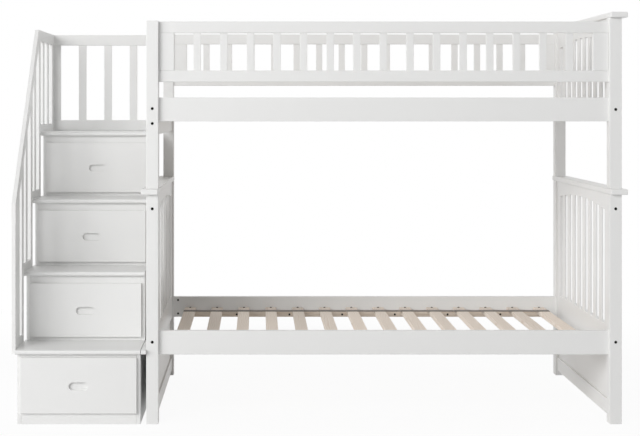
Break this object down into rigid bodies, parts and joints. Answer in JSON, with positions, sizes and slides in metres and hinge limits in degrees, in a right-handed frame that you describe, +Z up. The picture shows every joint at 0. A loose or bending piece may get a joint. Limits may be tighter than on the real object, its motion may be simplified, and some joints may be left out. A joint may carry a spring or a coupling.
{
  "type": "bunk bed with stairs",
  "caption": "White two-storey bed frame with slatted ends, guards, slat decks and a side staircase whose steps hold pull-out drawers, railed up to a landing.",
  "frame": {"origin": "on the floor, under the middle of the overall box", "axes": "+X along the bed from the staircase towards the arched upper end, +Y from the front with the drawers to the back, +Z up"},
  "size_m": [2.5964, 1.119, 1.7395],
  "materials": {
    "white_paint": "satin white paint on solid wood and board",
    "slat_wood": "bare sawn softwood",
    "drawer_wood": "clear-sealed plywood",
    "strap_webbing": "woven tape",
    "black_steel": "black oxide",
    "zinc_steel": "zinc plated"
  },
  "bodies": {
    "bed": {"barrel_nuts": "black_steel", "drawer_runners": "drawer_wood", "end_lower_left_arch": "white_paint", "end_lower_left_cap": "white_paint", "end_lower_left_panel": "white_paint", "end_lower_left_rails": "white_paint", "end_lower_left_spindles": "white_paint", "end_lower_right_arch": "white_paint", "end_lower_right_cap": "white_paint", "end_lower_right_panel": "white_paint", "end_lower_right_rails": "white_paint", "end_lower_right_spindles": "white_paint", "end_upper_left_rail": "white_paint", "end_upper_right_arch": "white_paint", "end_upper_right_cap": "white_paint", "end_upper_right_rail": "white_paint", "end_upper_right_spindles": "white_paint", "frame_bolts": "black_steel", "guard_front_rails": "white_paint", "guard_front_slats": "white_paint", "guard_rear_rails": "white_paint", "guard_rear_slats": "white_paint", "handrail": "white_paint", "landing_guard": "white_paint", "post_lower_front_left": "white_paint", "post_lower_front_right": "white_paint", "post_lower_rear_left": "white_paint", "post_lower_rear_right": "white_paint", "post_pins": "zinc_steel", "post_upper_front_left": "white_paint", "post_upper_front_right": "white_paint", "post_upper_rear_left": "white_paint", "post_upper_rear_right": "white_paint", "railing_balusters": "white_paint", "railing_rails": "white_paint", "railing_stiles": "white_paint", "side_rail_lower_front": "white_paint", "side_rail_lower_rear": "white_paint", "side_rail_upper_front": "white_paint", "side_rail_upper_rear": "white_paint", "slat_ledgers": "slat_wood", "slat_straps": "strap_webbing", "slats_lower": "slat_wood", "slats_upper": "slat_wood", "stair_backs": "white_paint", "stair_front_rails": "white_paint", "stair_sides_left": "white_paint", "stair_sides_right": "white_paint", "stair_spacers": "white_paint", "stair_treads": "white_paint"},
    "drawer_1": {"drawer_1_front": "white_paint", "drawer_1_box": "drawer_wood"},
    "drawer_2": {"drawer_2_front": "white_paint", "drawer_2_box": "drawer_wood"},
    "drawer_3": {"drawer_3_front": "white_paint", "drawer_3_box": "drawer_wood"},
    "drawer_4": {"drawer_4_front": "white_paint", "drawer_4_box": "drawer_wood"}
  },
  "joints": [
    {"name": "drawer_1_slide", "type": "slide", "parent": "bed", "child": "drawer_1", "axis": [0, -1, 0], "range_m": [0, 0.36]},
    {"name": "drawer_2_slide", "type": "slide", "parent": "bed", "child": "drawer_2", "axis": [0, -1, 0], "range_m": [0, 0.36]},
    {"name": "drawer_3_slide", "type": "slide", "parent": "bed", "child": "drawer_3", "axis": [0, -1, 0], "range_m": [0, 0.36]},
    {"name": "drawer_4_slide", "type": "slide", "parent": "bed", "child": "drawer_4", "axis": [0, -1, 0], "range_m": [0, 0.24]}
  ]
}
